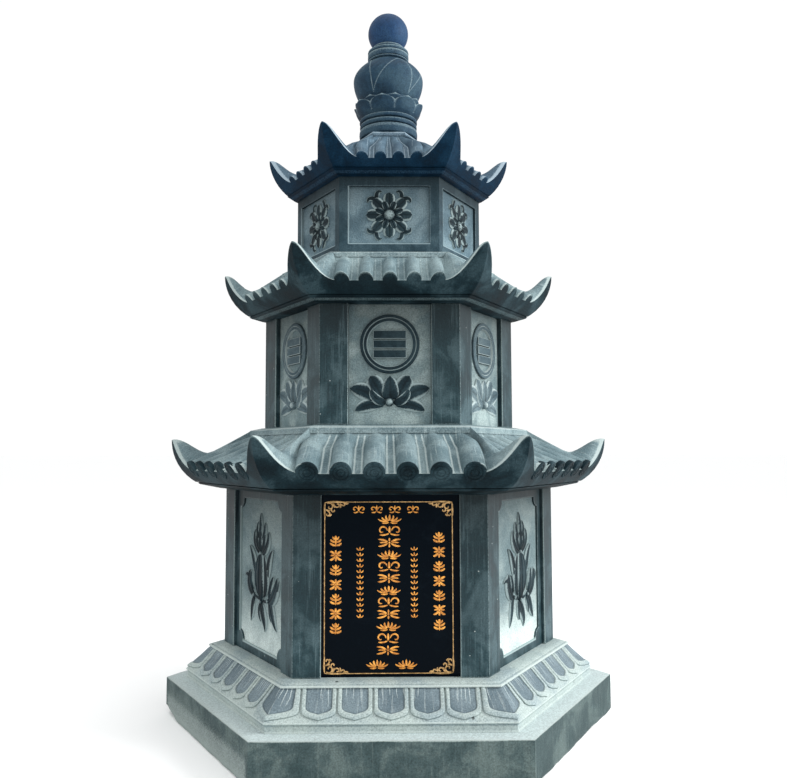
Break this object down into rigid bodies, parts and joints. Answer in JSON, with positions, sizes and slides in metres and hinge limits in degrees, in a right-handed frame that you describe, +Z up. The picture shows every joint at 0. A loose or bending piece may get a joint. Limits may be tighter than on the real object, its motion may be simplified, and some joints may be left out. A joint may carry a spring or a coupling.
{
  "type": "carved stone pagoda",
  "caption": "Free-standing hexagonal stone pagoda in three storeys, with upswept tiled roofs, a lotus course on a plain plinth and a turned finial.",
  "frame": {"origin": "centre of the plinth's foot, on the ground", "axes": "+Z up along the tower's axis, -Y towards the front face with the plaque, +X to the right of someone facing the front"},
  "size_m": [2.394, 2.0784, 3.8882],
  "materials": {
    "sawn_plinth": "sawn and weathered grey-green granite",
    "carved_lotus": "carved and picked grey granite, pale where raised",
    "honed_dark": "honed dark blue-green granite with rain streaks",
    "picked_pale": "picked pale grey-green granite with raised carving",
    "polished_black": "polished black granite with gilded engraving",
    "carved_roof": "carved grey-blue granite roof stone, darker on its fascia",
    "honed_blue": "honed dark blue granite frame round a paler field",
    "carved_blue": "carved deep blue granite"
  },
  "bodies": {
    "root": {"plinth": "sawn_plinth", "lotus_base": "carved_lotus", "lower_post_right": "honed_dark", "lower_post_back_right": "honed_dark", "lower_post_back_left": "honed_dark", "lower_post_left": "honed_dark", "lower_post_front_left": "honed_dark", "lower_post_front_right": "honed_dark", "lower_panel_back_right": "picked_pale", "lower_panel_back": "picked_pale", "lower_panel_back_left": "picked_pale", "lower_panel_front_left": "picked_pale", "lower_panel_front_right": "picked_pale", "plaque_backing": "picked_pale", "plaque": "polished_black", "lower_roof": "carved_roof", "middle_post_right": "honed_dark", "middle_post_back_right": "honed_dark", "middle_post_back_left": "honed_dark", "middle_post_left": "honed_dark", "middle_post_front_left": "honed_dark", "middle_post_front_right": "honed_dark", "middle_panel_back_right": "picked_pale", "middle_panel_back": "picked_pale", "middle_panel_back_left": "picked_pale", "middle_panel_front_left": "picked_pale", "middle_panel_front": "picked_pale", "middle_panel_front_right": "picked_pale", "middle_roof": "carved_roof", "upper_wall_back_right": "honed_blue", "upper_wall_back": "honed_blue", "upper_wall_back_left": "honed_blue", "upper_wall_front_left": "honed_blue", "upper_wall_front": "honed_blue", "upper_wall_front_right": "honed_blue", "upper_roof": "carved_blue", "finial_rings": "carved_blue", "finial_lotus": "carved_blue", "finial_vase": "carved_blue", "finial_collar": "carved_blue", "finial_ball": "carved_blue"}
  },
  "joints": []
}
